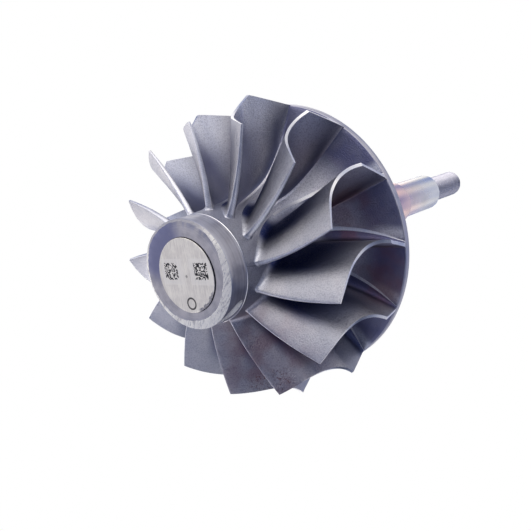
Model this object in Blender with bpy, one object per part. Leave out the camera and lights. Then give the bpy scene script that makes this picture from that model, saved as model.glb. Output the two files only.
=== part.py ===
"""Turbocharger turbine wheel with its shaft, for Blender 4.5.

A mixed-flow turbine wheel, cast in one piece in a nickel alloy, and the steel shaft welded to
its back. The wheel stands on the flat pad of its nose, with the shaft going up along +Z.
Lengths below are in millimetres and angles in degrees; the objects are built in metres.
"""

import math

import bmesh
import bpy
import numpy as np
from mathutils import Matrix, Vector

MM = 0.001

# Blades
BLADE_COUNT = 13
FIRST_BLADE_AZIMUTH = -35.3
BLADE_GAP = 0.3
ROOT_THICKNESS = 2.3
ROOT_EDGE_THICKNESS = 1.4
TIP_THICKNESS = 1.0
ROOT_FILLET = 1.2
CHORD_STEPS = 12
SPAN_STATIONS = (0.0, 0.018, 0.06, 0.3, 0.65, 1.0)
FOOT_SPAN = 0.1

# Wrap of every blade about the axis: (height, angle), read as one smooth curve.
# All the blade's fibres are radial, so one angle holds for one height.
WRAP_STATIONS = (
    (11.0, 13.2),
    (15.3, 0.0),
    (20.0, -10.3),
    (25.0, -16.0),
    (30.0, -18.3),
    (36.0, -16.6),
    (47.3, -12.4),
)

# Tip line of a blade as a cubic curve, outlet corner first: (radius, height)
TIP_CURVE = ((42.1, 15.3), (41.2, 21.3), (41.7, 27.4), (47.1, 33.4))

# Nose boss: a raised pad, the turned face round it, and a broken corner
PAD_RADIUS = 10.9
FACE_HEIGHT = 0.35
FACE_RADIUS = 14.4
BOSS_RADIUS = 16.1
BOSS_CORNER_HEIGHT = 1.2
BOSS_HEIGHT = 7.9

# Balance cut: a hollow ground into the side of the nose boss, slanting down towards the face
BALANCE_AZIMUTH = 81.0
BALANCE_HEIGHT = 4.2
BALANCE_DEPTH = 0.7
BALANCE_SLANT = 24.0
BALANCE_TOOL = (3.0, 9.0, 2.0)

# Hub surface between the blades as a cubic curve, boss first: (radius, height)
DISC_RADIUS = 43.0
DISC_FRONT = 47.2
DISC_BACK = 49.5
HUB_CURVE = ((BOSS_RADIUS, BOSS_HEIGHT), (18.5, 24.0), (11.5, 38.0), (DISC_RADIUS, DISC_FRONT))
HUB_STEPS = 12
ROOT_START = 0.077

# Back of the disc as a cubic curve, rim first, up to the weld: (radius, height)
WELD_HEIGHT = 60.0
WELD_RADIUS = 12.5
BACK_LAND_RADIUS = 36.0
BACK_CURVE = ((BACK_LAND_RADIUS, DISC_BACK), (26.0, 51.0), (14.0, 52.0), (WELD_RADIUS, WELD_HEIGHT))
BACK_STEPS = 7

# Shaft
SHAFT_GAP = 0.3
SEAL_BOSS_END = 71.5
RING_GROOVE_STARTS = (62.4, 67.0)
RING_GROOVE_WIDTH = 1.9
RING_GROOVE_DEPTH = 1.6
JOURNAL_RADIUS = 8.0
WAIST_RADIUS = 7.5
WAIST_START = 87.0
WAIST_END = 99.0
JOURNAL_END = 112.0
SEAT_RADIUS = 6.8
SEAT_END = 137.0
THREAD_RADIUS = 4.9
END_HEIGHT = 160.0
SHOULDER_CHAMFER = 0.5
END_CHAMFER = 1.2
CENTRE_HOLE_RADIUS = 1.6
CENTRE_HOLE_DEPTH = 2.4

# Mesh
TURNED_STEPS = 78
SHAFT_STEPS = 48
EGG_STEPS = (24, 14)
SHARP_ANGLE = 32.0
SLOPE_STEP = 0.01


def clear_scene():
    for old in list(bpy.data.objects):
        bpy.data.objects.remove(old, do_unlink=True)


def metal(name, colour, roughness):
    material = bpy.data.materials.new(name)
    material.use_nodes = True
    shader = material.node_tree.nodes["Principled BSDF"]
    shader.inputs["Base Color"].default_value = (*colour, 1.0)
    shader.inputs["Metallic"].default_value = 1.0
    shader.inputs["Roughness"].default_value = roughness
    material.diffuse_color = (*colour, 1.0)
    return material


def cubic(points, share):
    """Point on a cubic curve with four control points, at a share from 0 to 1."""
    rest = 1.0 - share
    weights = (rest ** 3, 3 * share * rest ** 2, 3 * share ** 2 * rest, share ** 3)
    radius = sum(w * p[0] for w, p in zip(weights, points))
    height = sum(w * p[1] for w, p in zip(weights, points))
    return radius, height


def cubic_line(points, steps):
    return [cubic(points, step / steps) for step in range(steps + 1)]


def wrap_slopes():
    """Slope of the wrap curve at each station, from its neighbours."""
    heights, angles = zip(*WRAP_STATIONS)
    return np.gradient(np.radians(angles), np.array(heights))


def wrap(height):
    """Wrap angle at a height, and its slope, both from a smooth curve through the stations."""
    heights = np.array([station[0] for station in WRAP_STATIONS])
    angles = np.radians([station[1] for station in WRAP_STATIONS])
    slopes = wrap_slopes()
    low = int(np.clip(np.searchsorted(heights, height) - 1, 0, len(heights) - 2))
    span = heights[low + 1] - heights[low]
    t = (height - heights[low]) / span
    a, b = angles[low], angles[low + 1]
    da, db = slopes[low] * span, slopes[low + 1] * span
    angle = a + t * (da + t * (3 * (b - a) - 2 * da - db + t * (2 * (a - b) + da + db)))
    slope = (da + t * (2 * (3 * (b - a) - 2 * da - db) + 3 * t * (2 * (a - b) + da + db))) / span
    return float(angle), float(slope)


def root_line(share):
    """Foot of a blade: the hub curve, moved out from its surface by the gap."""
    along = ROOT_START + (1.0 - ROOT_START) * share
    radius, height = cubic(HUB_CURVE, along)
    ahead = cubic(HUB_CURVE, min(along + SLOPE_STEP, 1.0))
    behind = cubic(HUB_CURVE, along - SLOPE_STEP)
    run = Vector((ahead[0] - behind[0], ahead[1] - behind[1])).normalized()
    return radius + run.y * BLADE_GAP, height - run.x * BLADE_GAP


def thickness(share, span):
    """Thickness of a blade: its foot is thickest halfway between the outlet and inlet edges."""
    middle = 4.0 * share * (1.0 - share)
    root = ROOT_EDGE_THICKNESS + (ROOT_THICKNESS - ROOT_EDGE_THICKNESS) * middle
    return root + (TIP_THICKNESS - root) * span


def fillet(height):
    """How far the root fillet stands out from the blade at a height above the foot."""
    rest = max(ROOT_FILLET - height, 0.0)
    return ROOT_FILLET - math.sqrt(ROOT_FILLET ** 2 - rest ** 2)


def blade_point(share, span, side):
    """Point of a blade's side, from outlet to inlet edge (share) and from foot to tip (span)."""
    root = root_line(share)
    tip = cubic(TIP_CURVE, share)
    radius = root[0] + (tip[0] - root[0]) * span
    height = root[1] + (tip[1] - root[1]) * span
    angle, slope = wrap(height)
    half = 0.5 * thickness(share, span) + fillet(span * math.dist(root, tip))
    lean = math.sqrt(1.0 + (radius * slope) ** 2)
    if span < FOOT_SPAN:
        # The foot follows the hub, so its thickness is laid round the axis.
        angle += side * half * lean / radius
    else:
        angle += side * half / lean / radius
        height -= side * half * radius * slope / lean
    return Vector((radius * math.cos(angle), radius * math.sin(angle), height)) * MM


def add_sheet(body, side):
    sheet = []
    for i in range(CHORD_STEPS + 1):
        row = [blade_point(i / CHORD_STEPS, span, side) for span in SPAN_STATIONS]
        sheet.append([body.verts.new(point) for point in row])
    return sheet


def outer_edge(sheet):
    """Vertices round the border of a sheet, in order."""
    bottom = [row[0] for row in sheet]
    inlet = sheet[-1][1:]
    tip = [row[-1] for row in reversed(sheet[:-1])]
    outlet = list(reversed(sheet[0][1:-1]))
    return bottom + inlet + tip + outlet


def blade_mesh(name):
    """One blade at azimuth 0: two sheets, closed by a band round their border."""
    body = bmesh.new()
    sheets = [add_sheet(body, side) for side in (-1.0, 1.0)]
    for sheet in sheets:
        for i in range(CHORD_STEPS):
            for j in range(len(SPAN_STATIONS) - 1):
                corners = (sheet[i][j], sheet[i + 1][j], sheet[i + 1][j + 1], sheet[i][j + 1])
                body.faces.new(corners)
    first, second = (outer_edge(sheet) for sheet in sheets)
    for k in range(len(first)):
        n = (k + 1) % len(first)
        body.faces.new((first[k], first[n], second[n], second[k]))
    return finish_mesh(body, name)


def turned_mesh(name, outline, steps):
    """Body of revolution about Z from an outline of (radius, height), axis to axis."""
    body = bmesh.new()
    rings = []
    for radius, height in outline:
        if radius == 0.0:
            rings.append([body.verts.new((0.0, 0.0, height * MM))])
            continue
        turns = [2.0 * math.pi * k / steps for k in range(steps)]
        ring = [Vector((radius * math.cos(a), radius * math.sin(a), height)) * MM for a in turns]
        rings.append([body.verts.new(point) for point in ring])
    for lower, upper in zip(rings, rings[1:]):
        for k in range(steps):
            n = (k + 1) % steps
            if len(lower) == 1:
                body.faces.new((lower[0], upper[n], upper[k]))
            elif len(upper) == 1:
                body.faces.new((lower[k], lower[n], upper[0]))
            else:
                body.faces.new((lower[k], lower[n], upper[n], upper[k]))
    return finish_mesh(body, name)


def finish_mesh(body, name):
    bmesh.ops.recalc_face_normals(body, faces=body.faces[:])
    mesh = bpy.data.meshes.new(name)
    body.to_mesh(mesh)
    body.free()
    mesh.shade_smooth()
    mesh.set_sharp_from_angle(angle=math.radians(SHARP_ANGLE))
    return mesh


def place(name, mesh, material, parent):
    part = bpy.data.objects.new(name, mesh)
    bpy.context.scene.collection.objects.link(part)
    if not mesh.materials:
        mesh.materials.append(material)
    part.parent = parent
    return part


def hub_outline():
    nose = [
        (0.0, 0.0),
        (PAD_RADIUS, 0.0),
        (PAD_RADIUS, FACE_HEIGHT),
        (FACE_RADIUS, FACE_HEIGHT),
        (BOSS_RADIUS, BOSS_CORNER_HEIGHT),
    ]
    front = cubic_line(HUB_CURVE, HUB_STEPS)
    back = cubic_line(BACK_CURVE, BACK_STEPS)
    return nose + front + [(DISC_RADIUS, DISC_BACK)] + back + [(0.0, WELD_HEIGHT)]


def ring_groove(start):
    floor = WELD_RADIUS - RING_GROOVE_DEPTH
    end = start + RING_GROOVE_WIDTH
    return [(WELD_RADIUS, start), (floor, start), (floor, end), (WELD_RADIUS, end)]


def step_down(height, outer, inner):
    """Shoulder with a chamfered corner, down from one radius to the next."""
    return [(outer, height - SHOULDER_CHAMFER), (outer - SHOULDER_CHAMFER, height), (inner, height)]


def shaft_outline():
    start = WELD_HEIGHT + SHAFT_GAP
    grooves = [point for height in RING_GROOVE_STARTS for point in ring_groove(height)]
    taper = JOURNAL_RADIUS - WAIST_RADIUS
    waist = [
        (JOURNAL_RADIUS, WAIST_START),
        (WAIST_RADIUS, WAIST_START + taper),
        (WAIST_RADIUS, WAIST_END - taper),
        (JOURNAL_RADIUS, WAIST_END),
    ]
    end = [
        (THREAD_RADIUS, END_HEIGHT - END_CHAMFER),
        (THREAD_RADIUS - END_CHAMFER, END_HEIGHT),
        (CENTRE_HOLE_RADIUS, END_HEIGHT),
        (0.0, END_HEIGHT - CENTRE_HOLE_DEPTH),
    ]
    outline = [(0.0, start), (WELD_RADIUS, start)]
    outline += grooves + step_down(SEAL_BOSS_END, WELD_RADIUS, JOURNAL_RADIUS)
    outline += waist + step_down(JOURNAL_END, JOURNAL_RADIUS, SEAT_RADIUS)
    outline += step_down(SEAT_END, SEAT_RADIUS, THREAD_RADIUS) + end
    return outline


def balance_cutter():
    """Egg-shaped tool whose lowest point lies at the bottom of the balance cut."""
    egg = bmesh.new()
    bmesh.ops.create_uvsphere(egg, u_segments=EGG_STEPS[0], v_segments=EGG_STEPS[1], radius=MM)
    bmesh.ops.scale(egg, vec=Vector(BALANCE_TOOL), verts=egg.verts[:])
    cutter = bpy.data.objects.new("balance_cutter", bpy.data.meshes.new("balance_cutter"))
    egg.to_mesh(cutter.data)
    egg.free()
    bpy.context.scene.collection.objects.link(cutter)
    aim = Matrix.Rotation(math.radians(BALANCE_AZIMUTH), 4, "Z")
    reach = BOSS_RADIUS - BALANCE_DEPTH + BALANCE_TOOL[0]
    seat = Matrix.Translation(Vector((reach, 0.0, BALANCE_HEIGHT)) * MM)
    slant = Matrix.Rotation(math.radians(-BALANCE_SLANT), 4, "X")
    cutter.matrix_world = aim @ seat @ slant
    cutter.hide_render = True
    cutter.display_type = "WIRE"
    return cutter


def build_hub(material, parent):
    hub = place("wheel_hub", turned_mesh("wheel_hub", hub_outline(), TURNED_STEPS), material, parent)
    cut = hub.modifiers.new("balance cut", "BOOLEAN")
    cut.operation = "DIFFERENCE"
    cut.object = balance_cutter()
    return hub


def build_blades(material, parent):
    mesh = blade_mesh("blade")
    for number in range(BLADE_COUNT):
        blade = place(f"blade_{number + 1:02d}", mesh, material, parent)
        turn = FIRST_BLADE_AZIMUTH + 360.0 * number / BLADE_COUNT
        blade.rotation_euler = (0.0, 0.0, math.radians(turn))


def build_shaft(material, parent):
    place("shaft", turned_mesh("shaft", shaft_outline(), SHAFT_STEPS), material, parent)


def main():
    clear_scene()
    rotor = bpy.data.objects.new("rotor", None)
    bpy.context.scene.collection.objects.link(rotor)
    machined = metal("nose and hub casting", (0.50, 0.49, 0.52), 0.42)
    cast = metal("blade casting", (0.44, 0.43, 0.50), 0.48)
    steel = metal("ground shaft steel", (0.62, 0.58, 0.58), 0.25)
    build_hub(machined, rotor)
    build_blades(cast, rotor)
    build_shaft(steel, rotor)


main()
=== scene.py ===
# Turbine wheel and shaft of a large turbocharger: the finished look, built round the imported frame.
# Lengths in the dictionaries are millimetres and angles are degrees, unless a note says otherwise.
import math

import bmesh
import bpy
import numpy as np
from mathutils import Matrix, Vector, noise


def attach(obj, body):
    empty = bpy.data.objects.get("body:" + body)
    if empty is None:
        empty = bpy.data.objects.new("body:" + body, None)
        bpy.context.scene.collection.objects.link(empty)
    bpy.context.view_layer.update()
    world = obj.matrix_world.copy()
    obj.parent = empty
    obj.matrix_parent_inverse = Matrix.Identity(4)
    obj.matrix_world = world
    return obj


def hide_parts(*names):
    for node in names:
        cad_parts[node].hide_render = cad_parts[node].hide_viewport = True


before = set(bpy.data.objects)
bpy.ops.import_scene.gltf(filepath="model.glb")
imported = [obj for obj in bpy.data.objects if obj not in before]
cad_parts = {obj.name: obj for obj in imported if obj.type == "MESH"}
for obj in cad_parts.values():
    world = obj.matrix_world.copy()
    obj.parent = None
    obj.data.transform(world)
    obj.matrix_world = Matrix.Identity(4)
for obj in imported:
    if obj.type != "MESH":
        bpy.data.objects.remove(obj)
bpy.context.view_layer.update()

mm = 0.001
print("frame loaded")


# An operator of the class below, and its form for a number on its left
def operators(operation):
    return (lambda wire, other: wire.owner.math(operation, wire, other),
            lambda wire, other: wire.owner.math(operation, other, wire))


# Shader maths reads as Python: a Wire wraps one output socket of a node tree.
class Wire:
    def __init__(self, owner, socket):
        self.owner = owner
        self.socket = socket

    def __abs__(self):
        return self.owner.math("ABSOLUTE", self)

    __add__, __radd__ = operators("ADD")
    __sub__, __rsub__ = operators("SUBTRACT")
    __mul__, __rmul__ = operators("MULTIPLY")
    __truediv__, __rtruediv__ = operators("DIVIDE")
    __pow__, __rpow__ = operators("POWER")


# A node tree whose nodes all come from one method.
class Tree:
    def __init__(self, tree):
        self.tree = tree

    def node(self, kind, settings=None, inputs=None, output=0):
        made = self.tree.nodes.new(kind)
        for key, value in (settings or {}).items():
            setattr(made, key, value)
        for key, value in (inputs or {}).items():
            self.feed(made.inputs[key], value)
        return Wire(self, made.outputs[output])

    def feed(self, socket, value):
        if isinstance(value, Wire):
            self.tree.links.new(value.socket, socket)
        elif socket.type == "RGBA":
            socket.default_value = (*value, 1.0)
        else:
            socket.default_value = value

    def math(self, operation, *values):
        return self.node("ShaderNodeMath", {"operation": operation}, dict(enumerate(values)))

    # a number as the result comes from the output "Value"
    def vector(self, operation, values, output=0):
        return self.node("ShaderNodeVectorMath", {"operation": operation}, values, output)

    # start to end, with soft ends, while the value goes from low to high
    def between(self, value, low, high, start=0.0, end=1.0):
        values = {"Value": value, "From Min": low, "From Max": high, "To Min": start, "To Max": end}
        return self.node("ShaderNodeMapRange", {"interpolation_type": "SMOOTHSTEP"}, values)

    # 1 between two soft edges, each given as where it is 0 and where it is 1
    def within(self, value, rise, fall):
        return self.between(value, *rise) * self.between(value, *fall)

    def mix(self, share, first, second):
        values = {0: share, 6: first, 7: second}  # 6, 7 and output 2 are the colours
        return self.node("ShaderNodeMix", {"data_type": "RGBA"}, values, 2)

    def parts(self, vector):
        split = self.node("ShaderNodeSeparateXYZ", inputs={"Vector": vector})
        return [Wire(self, socket) for socket in split.socket.node.outputs]

    def hypot(self, x, y):
        return (x * x + y * y) ** 0.5


# The blades' places round the axis, and rough forms of the hub and the feet for the finishes
wheelPlan = {
    "blades": 13,
    "firstAzimuth": -35.3,
    "rim": (43.0, 47.2),  # radius and height where the hub's curve ends
    "fall": (0.32, 0.00045),  # its fall inward from there: straight, and by the cube
    "neck": (16.4, 20.0, 0.02),  # radius of the neck, and its growth above a height, squared
    "foot": (0.41, -31.7),  # azimuth of a foot: for each millimetre up, and at height 0
}


# One material: its Principled shader, with its patterns placed by the object's coordinates.
class Finish(Tree):
    def __init__(self, name, metallic=1.0):
        self.material = bpy.data.materials.new(name)
        self.material.use_nodes = True
        super().__init__(self.material.node_tree)
        self.shader = self.tree.nodes["Principled BSDF"]
        self.setShader({"Metallic": metallic})
        self.spot = self.node("ShaderNodeTexCoord", output="Object")

    def setShader(self, values):
        for name, value in values.items():
            self.feed(self.shader.inputs[name], value)

    def complete(self, colour, roughness, normal):
        self.setShader({"Base Color": colour, "Roughness": roughness, "Normal": normal})
        return self.material

    # coordinates turned about Z, then counted in steps of the given sizes
    def scaled(self, sizes, turn=0.0, start=(0.0, 0.0, 0.0)):
        values = {"Vector": self.spot, "Rotation": (0.0, 0.0, math.radians(turn))}
        values["Location"] = [s * mm for s in start]
        values["Scale"] = [s * mm for s in sizes]
        return self.node("ShaderNodeMapping", {"vector_type": "TEXTURE"}, values)

    # noise of one size, or of a size along each axis
    def cloud(self, sizes, detail, rough, turn=0.0):
        sizes = sizes if isinstance(sizes, tuple) else (sizes, sizes, sizes)
        values = {"Vector": self.scaled(sizes, turn), "Scale": 1.0}
        values.update({"Detail": detail, "Roughness": rough})
        return self.node("ShaderNodeTexNoise", inputs=values)

    # where a pattern is strong, by its mask
    def patches(self, pattern, mask):
        return self.between(self.cloud(*pattern), *mask)

    # a tint laid over a colour where the mask is full
    def lay(self, under, mask, tint):
        colour, share = tint
        return self.mix(mask * share, under, colour)

    # lines across a value, so many to a millimetre
    def lines(self, place, count):
        values = {"W": place, "Scale": count}
        return self.node("ShaderNodeTexNoise", {"noise_dimensions": "1D"}, values)

    # dull to bright by two patterns: the blend is the first one's share and a mask
    def mottled(self, look, first, second):
        share, low, high = look["blend"]
        pattern = first * share + second * (1.0 - share)
        return self.mix(self.between(pattern, low, high), look["dull"], look["bright"])

    # 1 inside a soft ball round a point, 0 outside it
    def near(self, centre, reach, soft):
        away = self.vector("DISTANCE", {0: self.spot, 1: [c * mm for c in centre]}, "Value")
        return self.between(away, reach * mm, (reach - soft) * mm)

    # 1 along a short scratch from one point to another, 0 beside it
    def stroke(self, start, end, width, core=0.4):
        start, end = Vector(start) * mm, Vector(end) * mm
        line = end - start
        away = self.vector("SUBTRACT", {0: self.spot, 1: start})
        along = self.vector("DOT_PRODUCT", {0: away, 1: line}, "Value")
        share = self.node("ShaderNodeClamp", inputs={"Value": along / line.length_squared})
        reached = self.vector("SCALE", {0: line, "Scale": share})
        gap = self.vector("DISTANCE", {0: away, 1: reached}, "Value")
        return self.between(gap, width * mm, width * core * mm)

    # a height in millimetres needs no depth
    def bump(self, height, depth=1.0):
        return self.node("ShaderNodeBump", inputs={"Height": height, "Distance": depth * mm})

    # distance from the axis, and height, in millimetres
    def turnedSpot(self):
        x, y, z = self.parts(self.spot)
        return self.hypot(x, y) / mm, z / mm

    # roughly how far a spot is from the hub's curve, in millimetres
    def hubGap(self, radius, height):
        rimRadius, rimHeight = wheelPlan["rim"]
        straight, cubed = wheelPlan["fall"]
        neckRadius, neckTop, growth = wheelPlan["neck"]
        inward = rimRadius - radius
        below = rimHeight - inward * straight - inward ** 3 * cubed - height
        above = self.math("MAXIMUM", height - neckTop, 0.0)
        beside = radius - neckRadius - above ** 2 * growth
        return self.math("MINIMUM", beside, below)

    # how far the next blade's foot is along the turn, near the disc, in millimetres
    def bladeGap(self, radius, height):
        count = wheelPlan["blades"]
        growth, start = wheelPlan["foot"]
        x, y = self.parts(self.spot)[:2]
        turn = self.math("ARCTAN2", y, x) * (180.0 / math.pi)
        steps = (height * growth + start + wheelPlan["firstAzimuth"] - turn) * (count / 360.0)
        return self.math("FRACT", steps) * (2.0 * math.pi / count) * radius

    # how far the surface faces along the turn: 1 one way round, -1 the other
    def facingRound(self):
        x, y = self.parts(self.spot)[:2]
        across, along = self.parts(self.node("ShaderNodeTexCoord", output="Normal"))[:2]
        return (x * along - y * across) / self.hypot(x, y)


# In the looks, a pattern is its size or sizes, detail, roughness and turn, a mask is where it is 0
# and where it is full, a tint is a colour and its share, and a spot its place, reach and softness.
noiseSpan = (0.3, 0.7)  # nearly all of what a pattern gives

castLook = {
    "clouds": ((14.0, 3.0, 0.6), (0.40, 0.62)),
    "grain": (0.42, 2.5, 0.65),
    "grainDepth": 0.12,
    "pits": ((0.20, 0.19, 0.23), 0.34),  # the dark places in the grain
    "pitMask": (0.56, 0.36),
    "roughness": (0.36, 0.52),
    "band": (0.88, 0.88, 0.90),  # painted highlight: bright bands beside each foot
    "haze": (0.30, 0.12, 0.13),  # a breath of rust
    "hazePattern": ((8.0, 2.0, 0.5), (0.40, 0.62)),
    "hazes": (  # each spot, its share by the pattern and its even share
        ((-9.0, 30.0, 15.5), 26.0, 20.0, 0.32, 0.14),
        ((23.5, 27.5, 45.0), 14.0, 9.0, 0.30, 0.15),
        ((28.5, 8.0, 40.0), 14.0, 9.0, 0.30, 0.15),
    ),
    "rust": ((0.16, 0.04, 0.04), 0.7),  # specks of rust
    "rustPattern": ((0.8, 4.0, 0.8), (0.53, 0.60)),
    "rustReach": (5.0, 3.5),
    "rustPlaces": ((-18.6, 34.5, 20.7), (-12.5, 37.5, 18.0), (-6.2, 37.8, 16.2)),
}


# Shot-blasted casting over a colour: its grain, and faint rust in places.
def blasted(finish, colour):
    look = castLook
    grain = finish.cloud(*look["grain"])
    colour = finish.lay(colour, finish.between(grain, *look["pitMask"]), look["pits"])
    pattern = finish.patches(*look["hazePattern"])
    haze = sum(finish.near(place, reach, soft) * (pattern * share + even)
               for place, reach, soft, share, even in look["hazes"])
    colour = finish.mix(haze, colour, look["haze"])
    flecks = finish.patches(*look["rustPattern"])
    for place in look["rustPlaces"]:
        colour = finish.lay(colour, finish.near(place, *look["rustReach"]) * flecks, look["rust"])
    roughness = finish.between(grain, *noiseSpan, *look["roughness"])
    return colour, roughness, finish.bump(grain, look["grainDepth"])


# The blades carry painted light and shade by facing: the side facing one way round the axis, called
# its front here, is painted brighter, and the other, its back, darker.
bladeLook = {
    "cool": (0.53, 0.525, 0.545),
    "warm": (0.60, 0.585, 0.59),
    "front": (-0.3, 0.3),  # by how far it faces along the turn
    "paintedLight": (0.76, 0.76, 0.80),  # painted light out on the front
    "lightGap": (3.0, 12.0),  # by the distance from the hub
    "lightHeight": (12.0, 24.0),
    "paintedShade": ((0.012, 0.034, 0.165), 0.95),  # painted shade, dark blue, deep in the passages
    "shadeFront": 0.62,  # how much of it the front carries
    "shadeInward": (0.5, (30.0, 15.0)),  # by the radius less this share of the height
    "shadeStart": (0.15, (12.3, 15.3)),  # by the height less this share of the radius
    "shadeEnd": (38.0, 28.0),  # by the height
    "footShare": 0.8,  # of the painted shade along the foot near the disc
    "footFront": 0.85,
    "footGap": (6.0, 0.5),
    "footFrontHeights": ((24.0, 30.0), (45.0, 41.0)),
    "footBackHeight": (33.0, 36.0),
    "shineGap": (3.4, 1.4),  # painted highlight beside the foot: on the back, by the height
    "shineHeights": ((21.0, 26.0), (37.0, 33.0)),
    "shineNose": (15.0, 12.5, 0.0, 0.5),  # and on both sides by the nose, at half strength
}


# The blades' casting: painted light out on the fronts, painted shade deep inside the passages, and
# painted highlights beside the feet.
def bladeCast():
    look = bladeLook
    finish = Finish("bladeCast")
    radius, height = finish.turnedSpot()
    gap = finish.hubGap(radius, height)
    front = finish.between(finish.facingRound(), *look["front"])
    back = 1.0 - front

    # 1 on the back, the given share on the front
    def less(share):
        return 1.0 - front * (1.0 - share)

    colour = finish.mix(finish.patches(*castLook["clouds"]), look["cool"], look["warm"])
    # painted light: brighter out on the front, away from the hub and above the nose
    paintedLight = finish.between(gap, *look["lightGap"]) * finish.between(height, *look["lightHeight"])
    colour = finish.mix(paintedLight * front, colour, look["paintedLight"])
    # painted shade deep in the passages, less on the fronts, and along the feet near the disc
    share, mask = look["shadeInward"]
    paintedShade = finish.between(radius - height * share, *mask)
    share, mask = look["shadeStart"]
    paintedShade = paintedShade * finish.between(height - radius * share, *mask)
    paintedShade = paintedShade * finish.between(height, *look["shadeEnd"]) * less(look["shadeFront"])
    foot = finish.within(height, *look["footFrontHeights"]) * front
    foot = foot + finish.between(height, *look["footBackHeight"]) * back
    foot = foot * finish.between(gap, *look["footGap"]) * look["footShare"]
    paintedShade = finish.math("MAXIMUM", paintedShade, foot * less(look["footFront"]))
    colour = finish.lay(colour, paintedShade, look["paintedShade"])
    # painted highlight beside each foot: on the back at mid height, and on both sides by the nose
    shine = finish.within(height, *look["shineHeights"]) * back
    shine = shine + finish.between(height, *look["shineNose"])
    shine = shine * finish.between(gap, *look["shineGap"])
    colour = finish.mix(shine, colour, castLook["band"])
    return finish.complete(*blasted(finish, colour))


hubLook = {
    "neck": (0.48, 0.48, 0.52),  # next to the boss, halfway, and near the rim as painted shade
    "hub": (0.88, 0.86, 0.87),
    "rim": (0.21, 0.21, 0.33),
    "neckEnd": (20.0, 31.0),  # by the height
    "rimStart": (27.0, 36.0),  # by the radius
    "clouds": ((0.48, 0.48, 0.52), 0.3),
    "bandShare": 0.9,
    "bandStart": (32.0, 38.0),  # by the radius
    "bandGaps": ((1.2, 2.4), (6.5, 3.5)),  # by the distance from the next foot
    "scribe": ((0.03, 0.03, 0.04), 0.85),
    "scribeWidth": 0.16,
    "scribed": (  # short marks across the neck: start and end
        ((16.35, 0.6, 8.0), (16.5, 1.3, 10.4)), ((14.2, 8.1, 8.0), (14.1, 8.7, 11.2)),
        ((9.0, -13.7, 7.9), (10.5, -12.6, 7.6)), ((4.6, -15.6, 7.7), (6.4, -15.0, 7.7)),
    ),
}


# The hub's casting: darker towards the nose, with painted shade towards the rim and painted
# highlight bands beside the blades' feet.
def hubCast():
    look = hubLook
    finish = Finish("hubCast")
    radius, height = finish.turnedSpot()
    colour = finish.mix(finish.between(height, *look["neckEnd"]), look["neck"], look["hub"])
    # painted shade: dark blue towards the rim, deep between the blades
    colour = finish.mix(finish.between(radius, *look["rimStart"]), colour, look["rim"])
    # painted highlight: a bright band a little before each blade's foot near the rim
    band = finish.within(finish.bladeGap(radius, height), *look["bandGaps"])
    band = band * finish.between(radius, *look["bandStart"])
    colour = finish.lay(colour, band, (castLook["band"], look["bandShare"]))
    colour = finish.lay(colour, finish.patches(*castLook["clouds"]), look["clouds"])
    colour, roughness, normal = blasted(finish, colour)
    for start, end in look["scribed"]:
        colour = finish.lay(colour, finish.stroke(start, end, look["scribeWidth"]), look["scribe"])
    return finish.complete(colour, roughness, normal)


turnedPattern = {
    "wander": (5.0, 3.0, 0.6),  # slow changes over the lines
    "blend": (0.5, 0.36, 0.64),
    "grain": (0.35, 2.0, 0.6),
    "roughnessChange": (-0.05, 0.08),
}

# Each turned finish: name, bright and dull colour, roughness, and where they differ, the pitch and
# depth of its lines and the depth of its grain
turnedLooks = {
    "edge": ("turnedEdgeAndHighlight", (0.95, 0.93, 0.90), (0.80, 0.78, 0.77), 0.36),
    # the outlet edge's bright finish below is a painted highlight
    "outletHighlight": ("outletHighlight", (0.84, 0.83, 0.84), (0.64, 0.63, 0.65), 0.42),
    "rim": ("turnedRim", (0.64, 0.62, 0.65), (0.46, 0.45, 0.49), 0.4),
    # the groove's near-black finish is painted shade
    "groove": ("darkGroove", (0.10, 0.10, 0.12), (0.04, 0.04, 0.05), 0.6),
    "side": ("turnedSide", (0.62, 0.61, 0.64), (0.50, 0.49, 0.52), 0.42, 0.9, 0.0015, 0.006),
    "disc": ("turnedDisc", (0.33, 0.33, 0.36), (0.27, 0.27, 0.30), 0.36, 0.8),
    "thread": ("rolledThread", (0.78, 0.76, 0.79), (0.64, 0.62, 0.65), 0.5, 0.5),
    "weld": ("weldBead", (0.50, 0.44, 0.42), (0.26, 0.25, 0.34), 0.4, 0.6),
}


# Turned metal: fine lines round the axis, spaced along the radius or along the height.
def turnedMetal(name, bright, dull, roughness, pitch=0.25, lineDepth=0.004, grainDepth=0.003):
    look = {**turnedPattern, "bright": bright, "dull": dull}
    finish = Finish(name)
    radius, height = finish.turnedSpot()
    lines = finish.lines(radius + height, 1.0 / pitch)
    wander = finish.cloud(*look["wander"])
    colour = finish.mottled(look, lines, wander)
    smooth, rough = (roughness + change for change in look["roughnessChange"])
    roughness = finish.between(wander, *noiseSpan, smooth, rough)
    relief = lines * lineDepth + finish.cloud(*look["grain"]) * grainDepth
    return finish.complete(colour, roughness, finish.bump(relief))


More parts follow.
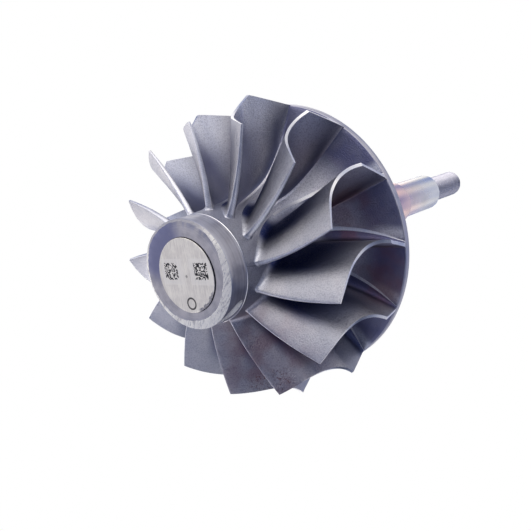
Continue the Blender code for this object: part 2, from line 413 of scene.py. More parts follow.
padLook = {
    "bright": (0.87, 0.83, 0.75),
    "dull": (0.69, 0.65, 0.60),
    "blend": (0.6, 0.38, 0.62),
    "brush": ((0.22, 7.0, 1.0), 3.0, 0.6),
    "brushDepth": 0.01,
    "clouds": (4.0, 3.0, 0.6),
    "cloudDepth": 0.02,
    "roughness": (0.44, 0.1, 0.2),  # everywhere, more on the patches, and more where torn
    "turn": 32.0,  # the marks stand square to this azimuth
    "pale": ((0.91, 0.87, 0.79), 0.6),  # where the metal was cleaned for the marks
    "patches": ((-5.3, 6.05), -1.07, (8.5, 7.6), 0.15),  # places, height, size, softness
    "mark": (0.03, 0.03, 0.035),
    "squares": ((-5.7, 6.2), -1.2, (5.2, 4.9), 0.02),
    "cells": 15,  # flecks along one side of a square
    "cellDepth": 100.0,
    "fleckMask": (0.47, 0.50),
    "fleckShare": 0.95,
    "ring": ((0.35, 8.2), 1.6, 0.5, 0.1),  # place, radius, width and softness
    "ringShare": 0.85,
    "dot": ((0.0, 0.3, 0.0), 0.55, 0.3),
    "dotShare": 0.5,
    "torn": ((1.6, 10.4, 0.0), 5.0, 1.5),  # where the pad's edge is torn
    "tornMask": (10.0, 10.3),  # by the radius, give or take half the wander
    "tornPattern": (1.3, 4.0, 0.75),
    "tornWander": 3.0,
    "dirt": (0.50, 0.48, 0.48),
    "dirtPattern": ((0.5, 3.0, 0.7), (0.50, 0.58)),
    "dirtShare": 0.45,
}


# The nose pad: brushed, with two plain squares of etched flecks and a small etched ring.
def brushedPad():
    look = padLook
    finish = Finish("brushedPad")
    turn = look["turn"]
    x, y = finish.parts(finish.scaled((1.0, 1.0, 1.0), turn))[:2]

    def window(value, middle, size, soft):
        return finish.between(abs(value - middle), (size + soft) / 2, (size - soft) / 2)

    def boxes(places, height, size, soft):
        across = sum(window(x, place, size[0], soft) for place in places)
        return across * window(y, height, size[1], soft)

    brush = finish.cloud(*look["brush"], turn)
    clouds = finish.cloud(*look["clouds"])
    colour = finish.mottled(look, brush, clouds)
    patches = boxes(*look["patches"])
    colour = finish.lay(colour, patches, look["pale"])
    step = look["squares"][2][0] / look["cells"]
    deep = look["cellDepth"]
    grid = finish.scaled((step, step, deep), turn, (0.0, 0.0, -deep / 2))
    cell = finish.vector("FLOOR", {0: grid})
    chance = finish.node("ShaderNodeTexWhiteNoise", inputs={"Vector": cell})
    flecks = boxes(*look["squares"]) * finish.between(chance, *look["fleckMask"])
    (ringX, ringY), *size = look["ring"]
    ring = window(finish.hypot(x - ringX, y - ringY), *size)
    etched = flecks * look["fleckShare"] + ring * look["ringShare"]
    colour = finish.mix(etched, colour, look["mark"])
    wander = look["tornWander"]
    away = finish.hypot(x, y) + finish.cloud(*look["tornPattern"]) * wander - wander / 2
    torn = finish.between(away, *look["tornMask"]) * finish.near(*look["torn"])
    colour = finish.mix(torn, colour, look["dirt"])
    dark = torn * finish.patches(*look["dirtPattern"]) * look["dirtShare"]
    dark = dark + finish.near(*look["dot"]) * look["dotShare"]
    colour = finish.mix(dark, colour, look["mark"])
    even, onPatch, onTorn = look["roughness"]
    roughness = even + patches * onPatch + torn * onTorn
    normal = finish.bump(brush * look["brushDepth"] + clouds * look["cloudDepth"])
    return finish.complete(colour, roughness, normal)


faceLook = {
    "bright": (0.52, 0.50, 0.52),
    "dull": (0.38, 0.37, 0.40),
    "blend": (0.35, 0.36, 0.64),
    "clouds": (4.0, 3.0, 0.6),
    "lines": 5.0,
    "lineDepth": 0.008,
    "roughness": 0.4,
    "blueReflection": ((0.19, 0.20, 0.33), 0.85),  # painted reflection: dark blue on one side of the nose
    "reflectionSpot": ((-4.2, -12.8, 0.0), 13.0, 6.0),
    "reflectionClouds": (0.2, 0.45, 0.6, 1.0),
}


def turnedFace():
    look = faceLook
    finish = Finish("turnedFace")
    lines = finish.lines(finish.turnedSpot()[0], look["lines"])
    clouds = finish.cloud(*look["clouds"])
    colour = finish.mottled(look, lines, clouds)
    # painted reflection: dark blue on one side of the face
    tint = finish.near(*look["reflectionSpot"]) * finish.between(clouds, *look["reflectionClouds"])
    colour = finish.lay(colour, tint, look["blueReflection"])
    return finish.complete(colour, look["roughness"], finish.bump(lines * look["lineDepth"]))


cornerLook = {
    "bright": (0.96, 0.92, 0.83),
    "dull": (0.58, 0.55, 0.53),
    "blend": (0.3, 0.36, 0.54),
    "grain": (0.5, 4.0, 0.7),
    "grainDepth": 0.10,
    "streaks": ((0.5, 4.0, 1.5), 4.0, 0.65, 70.0),
    "metallic": 0.35,
    "roughness": 0.55,
    "cornerShade": ((0.40, 0.39, 0.41), 0.85),  # painted shade where it is duller
    "cornerShadeSpot": ((5.0, -14.8, 1.0), 17.0, 7.0),
}


# The broken corner and other ground places: bright, with a torn grain and painted shade on one
# stretch of the corner.
def groundCorner():
    look = cornerLook
    finish = Finish("groundCorner", look["metallic"])
    grain = finish.cloud(*look["grain"])
    streaks = finish.cloud(*look["streaks"])
    colour = finish.mottled(look, grain, streaks)
    # painted shade on one stretch of the corner
    colour = finish.lay(colour, finish.near(*look["cornerShadeSpot"]), look["cornerShade"])
    return finish.complete(colour, look["roughness"], finish.bump(grain, look["grainDepth"]))


steelLook = {
    "steel": (0.90, 0.89, 0.84),
    "clouds": ((9.0, 9.0, 14.0), 3.0, 0.55),
    "lines": 3.0,
    "lineDepth": 0.003,
    "roughness": (0.2, 0.3),
    "pink": ((0.93, 0.64, 0.61), 0.8),  # heat tint towards the wheel
    "pinkMask": (140.0, 112.0),  # by the height plus the wander
    "pinkWander": 14.0,
    "straw": ((0.66, 0.56, 0.42), 0.3),
    "strawMask": (0.5, 0.7),
}


def shaftSteel():
    look = steelLook
    finish = Finish("groundSteel")
    height = finish.turnedSpot()[1]
    clouds = finish.cloud(*look["clouds"])
    pink = finish.between(height + clouds * look["pinkWander"], *look["pinkMask"])
    colour = finish.lay(look["steel"], pink, look["pink"])
    colour = finish.lay(colour, finish.between(clouds, *look["strawMask"]), look["straw"])
    roughness = finish.between(clouds, *noiseSpan, *look["roughness"])
    normal = finish.bump(finish.lines(height, look["lines"]) * look["lineDepth"])
    return finish.complete(colour, roughness, normal)


finishes = {key: turnedMetal(*look) for key, look in turnedLooks.items()}
finishes.update({
    "cast": bladeCast(), "hubCast": hubCast(), "pad": brushedPad(),
    "face": turnedFace(), "corner": groundCorner(), "steel": shaftSteel(),
})
print("materials made")


# Hub: nose pad and face, broken corner, side of the boss, cast surface between the blades, disc.
hubForm = {
    "steps": 312,
    "padRadius": 10.9,
    "padRings": (3.0, 6.0, 9.0),
    "padEdge": (0.12, 0.09),  # its rounding: inward and up
    "faceHeight": 0.35,
    "faceRing": 0.9,
    "grooveDepth": 0.1,
    "grooveWidth": (0.05, 0.13, 5.0),  # least, more where it is widest, and the azimuth of that
    "grooveLean": (0.02, 0.05),  # how far its walls lean, inner and outer
    "corner": (  # azimuth, inner radius and height of the broken corner
        (5, 14.9, 1.2), (25, 14.2, 1.2), (50, 13.5, 1.2), (90, 13.3, 1.2), (122, 13.3, 1.1),
        (145, 14.0, 0.85), (170, 14.7, 0.7), (200, 15.3, 0.7), (250, 15.4, 0.8), (345, 15.4, 1.1),
    ),
    "cornerTear": 0.28,  # raggedness of its edge: share, lumps and seed of each wave
    "cornerWaves": ((0.6, 6.0, 1.3), (0.6, 21.0, 5.1)),
    "cornerLeast": 0.35,  # its least width
    "cornerSteps": 5,
    "cornerBow": 1.25,
    "cornerRough": (0.06, 0.3),  # roughness of its surface, and the share left at its edge
    "cornerLumps": (15.0, 8.0, 2.0),  # lumps round it, seed, and how the seed grows outward
    "cornerEdge": (0.05, 0.12),  # its rounding there: inward and up
    "bossRadius": 16.1,
    "swell": (0.9, 236.0, 34.0),  # its front bulges: how far, at which azimuth, how wide
    "swellInner": 0.6,  # share of that at the corner's inner edge
    "swellFade": (0.8, 6.0),  # height where it starts to fade, and over how much
    "sideRings": (2.5, 4.0, 5.5, 6.8),
    "bossHeight": 7.9,
    "edgeDrops": (0.25, 0.2, 0.08),  # rows of the bright edge, below that height
    "edgeProud": 0.03,
    "castProud": 0.14,  # the cast neck stands this much outside the turned boss
    "proudFade": 1.2,
    "curve": ((16.1, 7.9), (18.5, 24.0), (11.5, 38.0), (43.0, 47.2)),
    "curveSteps": 64,
    "rim": (43.0, 47.2, 49.5),  # radius, and heights of its front and back with their edges
    "frontEdge": ((-0.25, -0.07, "hubCast"), (-0.06, 0.05, "rim"), (0.0, 0.25, "rim")),
    "backEdge": ((0.0, -0.3, "rim"), (-0.09, -0.09, "disc"), (-0.3, 0.0, "disc")),
    "backCurve": ((36.0, 49.5), (26.0, 51.0), (14.0, 52.0), (12.5, 60.0)),
    "backSteps": 36,
}

# Balance cut ground into the side of the boss
balanceCut = {
    "azimuth": 81.0,
    "height": 4.2,
    "depth": 1.1,
    "slant": 24.0,
    "tool": (3.0, 10.5, 2.5),  # half sizes: inward, round the axis, along it
    "segments": 96,
}

sharpTurn = 35.0  # edges that turn more than this stay sharp


def cubic(points, share):
    rest = 1.0 - share
    weights = (rest ** 3, 3 * share * rest ** 2, 3 * share ** 2 * rest, share ** 3)
    return [sum(w * p[axis] for w, p in zip(weights, points)) for axis in (0, 1)]


def ringTurns(steps):
    return np.arange(steps) * 2 * math.pi / steps


# A seeded wave round a ring: smooth noise that closes on itself
def ringWave(steps, lumps, seed):
    spots = ((lumps * math.cos(a), lumps * math.sin(a), seed) for a in ringTurns(steps))
    return np.array([noise.noise(spot) for spot in spots])


def addObject(name, data, slots=()):
    for slot in slots:
        data.materials.append(finishes[slot])
    made = bpy.data.objects.new(name, data)
    bpy.context.scene.collection.objects.link(made)
    return made


# A smooth piece whose marks name the finish of each face
def solidPiece(name, points, faces, marks, slots):
    mesh = bpy.data.meshes.new(name)
    mesh.from_pydata([Vector(p) * mm for p in points], [], faces)
    mesh.polygons.foreach_set("material_index", [slots.index(mark) for mark in marks])
    body = bmesh.new()
    body.from_mesh(mesh)
    bmesh.ops.recalc_face_normals(body, faces=body.faces[:])
    body.to_mesh(mesh)
    body.free()
    mesh.shade_smooth()
    mesh.set_sharp_from_angle(angle=math.radians(sharpTurn))
    return addObject(name, mesh, slots)


# Turned body from rows of (radius, height, finish); a radius or height may vary round the row.
def turnedBody(name, rows, steps, slots):
    turns = ringTurns(steps)
    points, faces, marks, starts = [], [], [], []
    for radius, height, _ in rows:
        starts.append(len(points))
        if np.ndim(radius) == 0 and radius == 0:
            points.append((0.0, 0.0, float(height)))
            continue
        ring = [radius * np.cos(turns), radius * np.sin(turns), height + 0 * turns]
        points.extend(np.stack(ring, axis=1).tolist())
    starts.append(len(points))
    for index in range(len(rows) - 1):
        low, high, stop = starts[index:index + 3]
        lowTip, highTip = high - low == 1, stop - high == 1
        for k in range(steps):
            n = (k + 1) % steps
            below = (low,) if lowTip else (low + k, low + n)
            above = (high,) if highTip else (high + n, high + k)
            faces.append(below + above)
            marks.append(rows[index + 1][2])
    return solidPiece(name, points, faces, marks, slots)


# Rounds an outline's corners: each point but the ends is (radius, height, finish, rounding).
def rounded(outline, arcSteps=4):
    rows = [outline[0][:3]]
    for before, here, after in zip(outline, outline[1:], outline[2:]):
        spot = Vector(here[:2])
        back = (Vector(before[:2]) - spot).normalized() * here[3]
        ahead = (Vector(after[:2]) - spot).normalized() * here[3]
        for step in range(arcSteps + 1):
            t = step / arcSteps
            point = spot + back * (1 - t) ** 2 + ahead * t ** 2
            rows.append((point.x, point.y, after[2] if step == arcSteps else here[2]))
    rows.append(outline[-1][:3])
    return rows


def hubRows():
    form = hubForm
    steps = form["steps"]
    turns = ringTurns(steps)
    degrees = np.degrees(turns)

    # pad and the groove round it, whose near-black finish is painted shade
    pad, face = form["padRadius"], form["faceHeight"]
    inward, up = form["padEdge"]
    rows = [(radius, 0.0, "pad") for radius in (0.0, *form["padRings"], pad - inward)]
    least, more, side = form["grooveWidth"]
    groove = pad + least + more * np.clip(np.cos(turns - math.radians(side)), 0, 1)
    floor = face + form["grooveDepth"]
    near, far = form["grooveLean"]
    rows += [(pad, up, "pad"), (pad + near, floor, "groove")]
    rows += [(groove, floor, "groove"), (groove + far, face, "groove")]

    # face and broken corner
    azimuths, inner, top = zip(*form["corner"])
    inner = np.interp(degrees, azimuths, inner, period=360.0)
    top = np.interp(degrees, azimuths, top, period=360.0)
    waves = (share * ringWave(steps, lumps, seed) for share, lumps, seed in form["cornerWaves"])
    inner = inner + form["cornerTear"] * sum(waves)
    bulge, side, spread = form["swell"]
    away = (degrees - side + 180.0) % 360.0 - 180.0
    swell = bulge * np.exp(-(away / spread) ** 2)
    boss = form["bossRadius"] + swell
    inner = np.minimum(inner + swell * form["swellInner"], boss - form["cornerLeast"])
    rows += [(pad + form["faceRing"], face, "face"), (pad + 0.5 * (inner - pad), face, "face")]
    rows.append((inner, face, "face"))
    inward, up = form["cornerEdge"]
    outer = boss - inward
    rough, left = form["cornerRough"]
    lumps, seed, growth = form["cornerLumps"]
    for step in range(1, form["cornerSteps"] + 1):
        t = step / form["cornerSteps"]
        wave = rough * ringWave(steps, lumps, seed + growth * t) * (1.0 if t < 1.0 else left)
        height = face + (top - face) * t ** form["cornerBow"] + wave
        rows.append((inner + (outer - inner) * t, height, "corner"))
    rows.append((boss, top + up, "side"))

    # side of the boss and the bright edge at its end
    start, run = form["swellFade"]
    sideEnd, edgeStart, edgeEnd = (form["bossHeight"] - drop for drop in form["edgeDrops"])
    for height in (*form["sideRings"], sideEnd):
        rows.append((boss - swell * min(1.0, (height - start) / run), height, "side"))
    boss, proud = form["bossRadius"], form["castProud"]
    rows += [(boss + form["edgeProud"], edgeStart, "edge"), (boss + proud, edgeEnd, "edge")]

    # cast curve, rim and the disc's back
    count = form["curveSteps"]
    for step in range(count):
        radius, height = cubic(form["curve"], step / count)
        radius += proud * math.exp(-(height - form["bossHeight"]) / form["proudFade"])
        rows.append((radius, height, "hubCast"))
    rim, front, back = form["rim"]
    rows += [(rim + out, front + up, slot) for out, up, slot in form["frontEdge"]]
    rows.append((rim, 0.5 * (front + back), "rim"))
    rows += [(rim + out, back + up, slot) for out, up, slot in form["backEdge"]]
    count = form["backSteps"]
    rows += [(*cubic(form["backCurve"], step / count), "disc") for step in range(count + 1)]
    rows.append((0.0, form["backCurve"][-1][1], "disc"))
    return rows


def applyCut(piece, cutter):
    cut = piece.modifiers.new("cut", "BOOLEAN")
    cut.operation = "DIFFERENCE"
    cut.object = cutter
    bpy.context.view_layer.update()
    depsgraph = bpy.context.evaluated_depsgraph_get()
    mesh = bpy.data.meshes.new_from_object(piece.evaluated_get(depsgraph))
    piece.modifiers.clear()
    piece.data = mesh
    bpy.data.objects.remove(cutter, do_unlink=True)


def balanceTool(slots):
    cut = balanceCut
    mesh = bpy.data.meshes.new("cutter")
    egg = bmesh.new()
    around = cut["segments"]
    bmesh.ops.create_uvsphere(egg, u_segments=around, v_segments=around // 2, radius=mm)
    bmesh.ops.scale(egg, vec=Vector(cut["tool"]), verts=egg.verts[:])
    for face in egg.faces:
        face.material_index = slots.index("corner")
        face.smooth = True
    egg.to_mesh(mesh)
    egg.free()
    cutter = addObject("cutter", mesh, slots)
    aim = Matrix.Rotation(math.radians(cut["azimuth"]), 4, "Z")
    reach = hubForm["bossRadius"] - cut["depth"] + cut["tool"][0]
    seat = Matrix.Translation(Vector((reach, 0.0, cut["height"])) * mm)
    cutter.matrix_world = aim @ seat @ Matrix.Rotation(math.radians(-cut["slant"]), 4, "X")
    return cutter


hubSlots = ["pad", "face", "corner", "side", "edge", "hubCast", "rim", "disc", "groove"]
hub = turnedBody("hubCasting", hubRows(), hubForm["steps"], hubSlots)
applyCut(hub, balanceTool(hubSlots))
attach(hub, "root")
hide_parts("wheel_hub")
print("hub made")


# Blades: one lofted body each, with a fillet round its whole foot and a turned tip and inlet edge.
bladeForm = {
    "wrap": (  # height and azimuth: one azimuth holds for one height
        (11.0, 13.2), (15.3, 0.0), (20.0, -10.3), (25.0, -16.0),
        (30.0, -18.3), (36.0, -16.6), (47.3, -12.4),
    ),
    "tip": ((42.1, 15.3), (41.2, 21.3), (41.7, 27.4), (47.1, 33.4)),
    "tipOutlet": 0.7,  # thickness of the tip at its two ends
    "tipInlet": 1.0,
    "rootStart": 0.077,  # where on the hub's curve the foot begins
    "root": ((0.0, 1.9), (0.5, 2.4), (1.0, 1.1)),  # share of the length, thickness of the foot
    "filletRise": (  # share of the length, height of the fillet
        (0.0, 1.1), (0.1, 1.7), (0.3, 2.2), (0.6, 2.6), (0.85, 2.4), (1.0, 1.4),
    ),
    "filletFront": ((0.0, 0.5), (0.1, 0.9), (0.5, 1.3), (1.0, 0.5)),  # and its width on each side
    "filletBack": (
        (0.0, 0.6), (0.1, 1.6), (0.3, 2.8), (0.55, 3.8), (0.8, 4.0), (0.92, 2.6), (1.0, 0.6),
    ),
    "sink": 0.25,  # the foot goes this far into the hub
    "edgeReach": 0.4,  # how far the outlet edge bulges, in half thicknesses
    "squareFrom": 0.8,  # share of the length from which the inlet edge is squared
    "waviness": 0.05,
    "ripples": (  # size, shift from blade to blade, change across, share
        (4.0, (7.0, 0.0), 5.0, 1.0), (1.6, (0.0, 5.0), 9.0, 0.6),
    ),
    "chordSteps": 48,
    "chordPace": 1.1,  # above 1 the steps are closer near the outlet
    "capSteps": 8,
    "filletSteps": 7,
    "filletPace": 0.9,
    "bodySteps": 15,
    "creaseSteps": 2,  # painted highlight: a bright line where the back's foot meets the disc
    "creaseStart": 0.72,
    "outletHighlightSteps": 3,  # painted highlight along the outlet edge, to each side of its middle
    "outletSpan": (0.01, 0.03),  # shares of the length that give the pace at the outlet
    "slopeSpan": 0.005,  # and how far apart slopes are taken elsewhere
}


# Value and slope of a smooth curve through stations of (place, value)
def through(stations, place):
    places, values = (np.array(column) for column in zip(*stations))
    slopes = np.gradient(values, places)
    low = np.clip(np.searchsorted(places, place) - 1, 0, len(places) - 2)
    span = places[low + 1] - places[low]
    t = (place - places[low]) / span
    rise = values[low + 1] - values[low]
    start, end = slopes[low] * span, slopes[low + 1] * span
    bend, twist = 3 * rise - 2 * start - end, start + end - 2 * rise
    value = values[low] + t * (start + t * (bend + t * twist))
    return value, (start + t * (2 * bend + 3 * t * twist)) / span


# Radius and height of a blade's surface at a share of its length, from outlet to inlet, and at a
# rise from the hub; also the length of the line from foot to tip
def meridian(share, rise):
    start = bladeForm["rootStart"]
    foot = np.array(cubic(hubForm["curve"], start + (1 - start) * share))
    tip = np.array(cubic(bladeForm["tip"], share))
    length = np.hypot(*(tip - foot))
    return foot + (tip - foot) / length * rise, length


# One ring round a blade's thickness. A phase below 0 is inside the hub, a phase up to a quarter
# turn climbs the fillet, and with None the ring is at the span's share of the height above it.
def bladeLevel(phase, span, number):
    form = bladeForm
    flare = 0.0 if phase is None else 1.0 - math.sin(max(phase, 0.0))

    def rising(share):
        fillet = through(form["filletRise"], np.clip(share, 0, 1))[0]
        length = meridian(share, 0.0)[1]
        if phase is None:
            return fillet + (length - fillet) * span, length
        if phase < 0:
            return -form["sink"] + 0 * share, length
        return fillet * (1 - math.cos(phase)), length

    def onSurface(share):
        return meridian(share, rising(share)[0])[0]

    def halfWidth(share):
        rise, length = rising(share)
        root = through(form["root"], np.clip(share, 0, 1))[0]
        tip = form["tipOutlet"] + (form["tipInlet"] - form["tipOutlet"]) * share
        return 0.5 * (root + (tip - root) * np.clip(rise / length, 0, 1))

    # in along one side, round the outlet edge and back along the other side
    low, high = form["outletSpan"]
    ends = [onSurface(np.array([s]))[:, 0] for s in (low, high)]
    pace = math.dist(*ends) / (high - low)
    first = form["edgeReach"] * float(halfWidth(np.array([0.0]))[0]) / pace
    line = np.linspace(0, 1, form["chordSteps"] + 1) ** form["chordPace"]
    line = first + (1 - first) * line
    cap = np.linspace(0, math.pi, form["capSteps"] + 1)[1:-1]
    share = np.concatenate([line[::-1], np.full(len(cap), first), line])
    turn = np.concatenate([0 * line, cap, math.pi + 0 * line])

    # the middle surface there, with its lean against the turn
    rise = rising(share)[0]
    spot = meridian(share, rise)[0]
    tiny = form["slopeSpan"]
    step = (meridian(share + tiny, rise)[0] - meridian(share - tiny, rise)[0]) / (2 * tiny)
    pace = np.hypot(*step)
    angle, slope = np.radians(through(form["wrap"], spot[1]))
    lean = np.arctan(spot[0] * slope * step[1] / pace)

    # half the thickness, with fillets and a faint waviness
    side = np.cos(turn)
    front, back = (through(form[key], share)[0] for key in ("filletFront", "filletBack"))
    ripple = np.array([sum(
        part * noise.noise((x / size + number * shift[0], y / size + number * shift[1], across * s))
        for size, shift, across, part in form["ripples"]) for x, y, s in zip(*spot, side)])
    square = np.clip((share - form["squareFrom"]) / (1 - form["squareFrom"]), 0, 1)
    square = square * square * (3 - 2 * square)
    half = halfWidth(share) + flare * (front * (1 + side) + back * (1 - side)) / 2
    half = half + form["waviness"] * ripple * (1 - square)

    reach = form["edgeReach"] * np.sin(turn)
    along = -(np.sin(lean) * side + np.cos(lean) * reach) * half * (1 - square)
    aside = np.cos(lean) * side - np.sin(lean) * reach
    aside = half * (aside * (1 - square) + side / np.cos(lean) * square)
    place = onSurface(share + along / pace)
    around = angle + aside / place[0]
    return np.stack([place[0] * np.cos(around), place[0] * np.sin(around), place[1]], axis=1)


def bladePiece(number):
    form = bladeForm
    filletSteps, bodySteps = form["filletSteps"], form["bodySteps"]
    climb = [(k / filletSteps) ** form["filletPace"] for k in range(filletSteps + 1)]
    levels = [bladeLevel(-1.0, 0.0, number)]
    levels += [bladeLevel(0.5 * math.pi * share, 0.0, number) for share in climb]
    levels += [bladeLevel(None, (k + 1) / bodySteps, number) for k in range(bodySteps)]
    turn = math.radians(wheelPlan["firstAzimuth"] + 360.0 * number / wheelPlan["blades"])
    spin = np.array(Matrix.Rotation(turn, 3, "Z"))
    points = np.concatenate(levels) @ spin.T
    count, top = len(levels[0]), (len(levels) - 1) * len(levels[0])
    faces, marks = [], []
    for level in range(len(levels) - 1):
        low, high = level * count, (level + 1) * count
        for k in range(count):
            n = (k + 1) % count
            faces.append((low + k, low + n, high + n, high + k))
            mark = "hubCast" if level < filletSteps // 2 and k < form["chordSteps"] else "cast"
            # painted highlight: the bright finish along the outlet edge
            if level > filletSteps and abs(k + 0.5 - (count - 1) / 2) < form["outletHighlightSteps"]:
                mark = "outletHighlight"
            # the back's foot by the disc gets the bright edge finish as a painted highlight
            if n == 0 or level < form["creaseSteps"] and n > count * form["creaseStart"]:
                mark = "edge"
            marks.append(mark)
    for base, mark in ((0, "cast"), (top, "edge")):
        for k in range((count - 1) // 2):
            corners = [base + k, base + k + 1, base + count - 2 - k, base + count - 1 - k]
            if corners[1] == corners[2]:
                corners.pop(2)
            faces.append(corners)
            marks.append(mark)
    slots = ["cast", "edge", "hubCast", "outletHighlight"]
    return solidPiece(f"bladeCasting{number + 1:02d}", points.tolist(), faces, marks, slots)


for number in range(wheelPlan["blades"]):
    blade = bladePiece(number)
    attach(blade, "root")
    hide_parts(f"blade_{number + 1:02d}")
print("blades made")


# Shaft: weld bead, seal boss with two ring grooves, journals, waist, seat and thread.
shaftForm = {
    "steps": 128,
    "weld": (60.0, 12.5),  # height and radius
    "weldStart": (0.1, 0.3),  # down into the hub's back, and inward
    "bead": (0.02, 0.3, 2.2),  # inset, rise and width
    "beadSteps": 12,
    "beadBulge": 0.7,  # below 1 its sides are steeper
    "ripples": (60, 0.25, 1.2),  # number, share of the rise, and bow
    "sealEnd": 71.5,
    "grooves": (62.4, 67.0),
    "grooveSize": (1.9, 1.6),  # width and depth
    "grooveRounds": (0.12, 0.15),  # of its edges and of its floor
    "sealFoot": (0.6, 0.3),  # the cone down to the journal, and its rounding
    "journal": 8.0,
    "journalEnd": 112.0,
    "waist": 7.5,
    "waistSpan": (87.0, 99.0),
    "waistSlope": 0.5,
    "seat": 6.8,
    "seatFoot": (0.3, 0.4),  # the cone from the shoulder: outward and up
    "seatEnd": 137.0,
    "rounds": (0.4, 0.2),  # of the other edges and inner corners
    "thread": 4.9,
    "threadPitch": 1.5,
    "threadDepth": 0.85,
    "threadSteps": 10,  # rows to a turn
    "threadShape": 0.8,  # below 1 its crests are narrower
    "threadPlain": (2.0, 0.6),  # plain lengths at its two ends
    "threadFade": (2.0, 1.0, 0.15),  # how it fades in and out, and what is left at the tip
    "end": 160.0,
    "tipCone": 1.1,  # the cone at the tip, and the small rounding after it
    "tipRound": (1.2, 1.35, 0.1),
    "centreHole": (1.6, 0.1, 2.4),  # radius, edge and depth
}


def shaftRows():
    form = shaftForm
    turns = np.arange(form["steps"]) / form["steps"]

    # weld bead
    base, boss = form["weld"]
    down, inward = form["weldStart"]
    inset, rise, width = form["bead"]
    count, depth, bow = form["ripples"]
    base = base - down
    rows = [(0.0, base, "weld"), (boss - inward, base, "weld")]
    for step in range(form["beadSteps"] + 1):
        t = step / form["beadSteps"]
        arch = math.sin(math.pi * t)
        ripple = 1 - depth + depth * np.cos(2 * math.pi * (turns * count + bow * arch))
        radius = boss - inset + rise * arch ** form["beadBulge"] * ripple
        rows.append((radius, base + width * t, "weld"))

    # seal boss with its grooves, journals with the waist, seat, and the thread's plain start
    outline = [(boss, base + width, "disc")]
    width, depth = form["grooveSize"]
    edge, inside = form["grooveRounds"]
    for start in form["grooves"]:
        floor, end = boss - depth, start + width
        outline += [(boss, start, "disc", edge), (floor, start, "disc", inside)]
        outline += [(floor, end, "disc", inside), (boss, end, "disc", edge)]
    edge, inside = form["rounds"]
    seal, journal, waist = form["sealEnd"], form["journal"], form["waist"]
    cone, soft = form["sealFoot"]
    low, high = form["waistSpan"]
    slope, shoulder = form["waistSlope"], form["journalEnd"]
    seat, seatEnd, thread, tip = form["seat"], form["seatEnd"], form["thread"], form["end"]
    out, up = form["seatFoot"]
    start, end = seatEnd + form["threadPlain"][0], tip - form["threadPlain"][1]
    outline += [
        (boss, seal, "disc", edge), (journal + cone, seal, "disc", soft),
        (journal, seal + cone, "steel", soft), (journal, low, "steel", inside),
        (waist, low + slope, "steel", inside), (waist, high - slope, "steel", inside),
        (journal, high, "steel", inside), (journal, shoulder, "steel", edge),
        (seat + out, shoulder, "steel", inside), (seat, shoulder + up, "steel", inside),
        (seat, seatEnd, "steel", edge), (thread, seatEnd, "steel", inside),
        (thread, start, "steel"),
    ]
    rows += rounded(outline)

    # thread
    pitch = form["threadPitch"]
    fadeIn, fadeOut, least = form["threadFade"]
    count = int((end - start) / pitch * form["threadSteps"])
    for step in range(1, count + 1):
        height = start + (end - start) * step / count
        wave = 0.5 - 0.5 * np.cos(2 * math.pi * (height / pitch - turns))
        fade = min(1.0, (height - start) / fadeIn, (end - height) / fadeOut + least)
        limit = min(thread, thread - form["tipCone"] + (tip - height))
        radius = thread - form["threadDepth"] * fade * wave ** form["threadShape"]
        rows.append((np.minimum(radius, limit), height, "thread"))

    # tip with its centre hole
    outer, inner, low = form["tipRound"]
    hole, edge, depth = form["centreHole"]
    rows += [(thread - outer, tip - low, "steel"), (thread - inner, tip, "steel")]
    rows += [(hole + edge, tip, "steel"), (hole, tip - edge, "steel"), (0.0, tip - depth, "steel")]
    return rows


shaftSlots = ["weld", "disc", "steel", "thread"]
shaft = turnedBody("shaftBar", shaftRows(), shaftForm["steps"], shaftSlots)
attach(shaft, "root")
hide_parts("shaft")
print("shaft made")


# The stage: a pale floor that shows only from above, since the photograph looks up from below it.
floorPlan = {
    "colour": (0.93, 0.92, 0.90),
    "roughness": 0.7,
    "glow": (1.0, 0.99, 0.96),
    "glowStrength": 0.2,
    "reach": 6000.0,
    "drop": 0.2,  # how far it lies below the nose
}


def addFloor():
    plan = floorPlan
    finish = Finish("paleFloor", 0.0)
    finish.setShader({"Base Color": plan["colour"], "Roughness": plan["roughness"]})
    finish.setShader({"Emission Color": plan["glow"], "Emission Strength": plan["glowStrength"]})
    behind = finish.node("ShaderNodeNewGeometry", output="Backfacing")
    clear = finish.node("ShaderNodeBsdfTransparent")
    shade = Wire(finish, finish.shader.outputs[0])
    shown = finish.node("ShaderNodeMixShader", inputs={0: behind, 1: shade, 2: clear})
    finish.feed(finish.tree.nodes["Material Output"].inputs["Surface"], shown)
    mesh = bpy.data.meshes.new("floor")
    reach = plan["reach"]
    sides = ((-reach, -reach), (reach, -reach), (reach, reach), (-reach, reach))
    mesh.from_pydata([Vector((*side, -plan["drop"])) * mm for side in sides], [], [(0, 1, 2, 3)])
    mesh.materials.append(finish.material)
    floor = addObject("floor", mesh)
    floor.visible_shadow = floor.visible_glossy = floor.visible_diffuse = False


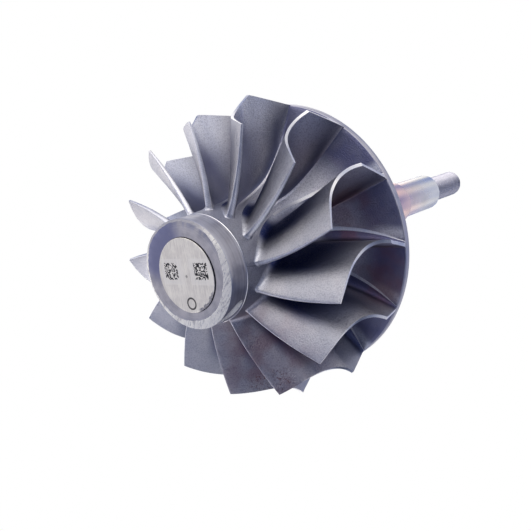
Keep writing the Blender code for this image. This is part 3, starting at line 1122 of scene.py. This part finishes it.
# The studio is a surround of large soft glows; the camera sees a plain white backdrop.
lightPlan = {
    "seen": (1.0, 1.0, 1.0),
    "gamma": 0.85,  # of the display
    "sharpness": 24.0,  # the higher, the smaller each glow
    "dim": (0.60, 0.89, 2.00),  # tint where the surround is dark, and where it is bright
    "bright": (1.01, 1.00, 1.02),
    "brightAt": 0.9,
    "glows": (  # azimuth, elevation and strength
        (0, 80, 0.72), (8, 19, 1.35), (40, 29, 1.06), (53, 63, 0.47),
        (68, -25, 1.18), (100, -15, 0.88), (105, 53, 1.13), (120, -31, 0.87),
        (140, -50, 0.68), (158, 45, 1.33), (165, 3, 3.62), (173, -38, 0.14),
        (193, -59, 1.10), (198, 12, 1.50), (205, -27, 1.04), (218, -3, 2.43),
        (243, 50, 1.85), (245, -72, 0.48), (258, -33, 1.89), (263, 31, 0.64),
        (270, -8, 0.90), (290, -23, 1.48), (295, 42, 0.55), (303, 1, 0.80),
        (310, -40, 2.03), (315, 25, 0.75), (323, -14, 1.45), (328, 56, 0.60),
        (330, -63, 0.60), (335, 10, 0.45), (343, -29, 1.45), (348, 35, 1.00),
    ),
}


def wayTo(azimuth, elevation):
    turn, lift = math.radians(azimuth), math.radians(elevation)
    flat = math.cos(lift)
    return Vector((math.cos(turn) * flat, math.sin(turn) * flat, math.sin(lift)))


def addWorld():
    plan = lightPlan
    world = bpy.data.worlds.new("studio")
    bpy.context.scene.world = world
    world.use_nodes = True
    sky = Tree(world.node_tree)
    way = sky.node("ShaderNodeTexCoord", output="Generated")

    def glow(azimuth, elevation, strength):
        facing = sky.vector("DOT_PRODUCT", {0: way, 1: wayTo(azimuth, elevation)}, "Value")
        return sky.math("MAXIMUM", facing, 0.0) ** plan["sharpness"] * strength

    total = sum(glow(*row) for row in plan["glows"])
    colour = sky.mix(sky.between(total, 0.0, plan["brightAt"]), plan["dim"], plan["bright"])
    soft = sky.node("ShaderNodeBackground", inputs={"Color": colour, "Strength": total})
    plain = sky.node("ShaderNodeBackground", inputs={"Color": plan["seen"]})
    seen = sky.node("ShaderNodeLightPath", output="Is Camera Ray")
    both = sky.node("ShaderNodeMixShader", inputs={0: seen, 1: soft, 2: plain})
    sky.feed(sky.tree.nodes["World Output"].inputs["Surface"], both)


cameraPlan = {
    "place": (160.870, 53.222, -151.462),
    "target": (0.562, 5.582, 30.0),
    "roll": -69.41,
    "lens": 54.605,
    "nearest": 10.0,  # nothing closer than this is seen
}


def addCamera():
    plan = cameraPlan
    place, target = Vector(plan["place"]) * mm, Vector(plan["target"]) * mm
    forward = (target - place).normalized()
    level = forward.cross(Vector((0.0, 0.0, 1.0))).normalized()
    roll = math.radians(plan["roll"])
    up = level.cross(forward) * math.cos(roll) + level * math.sin(roll)
    lens = bpy.data.cameras.new("camera")
    lens.lens, lens.clip_start = plan["lens"], plan["nearest"] * mm
    camera = addObject("camera", lens)
    camera.matrix_world = Matrix((forward.cross(up), up, -forward)).transposed().to_4x4()
    camera.location = place
    bpy.context.scene.camera = camera


addFloor()
addWorld()
addCamera()
bpy.context.scene.view_settings.view_transform = "Standard"
bpy.context.scene.view_settings.gamma = lightPlan["gamma"]
print("stage, lights and camera made")
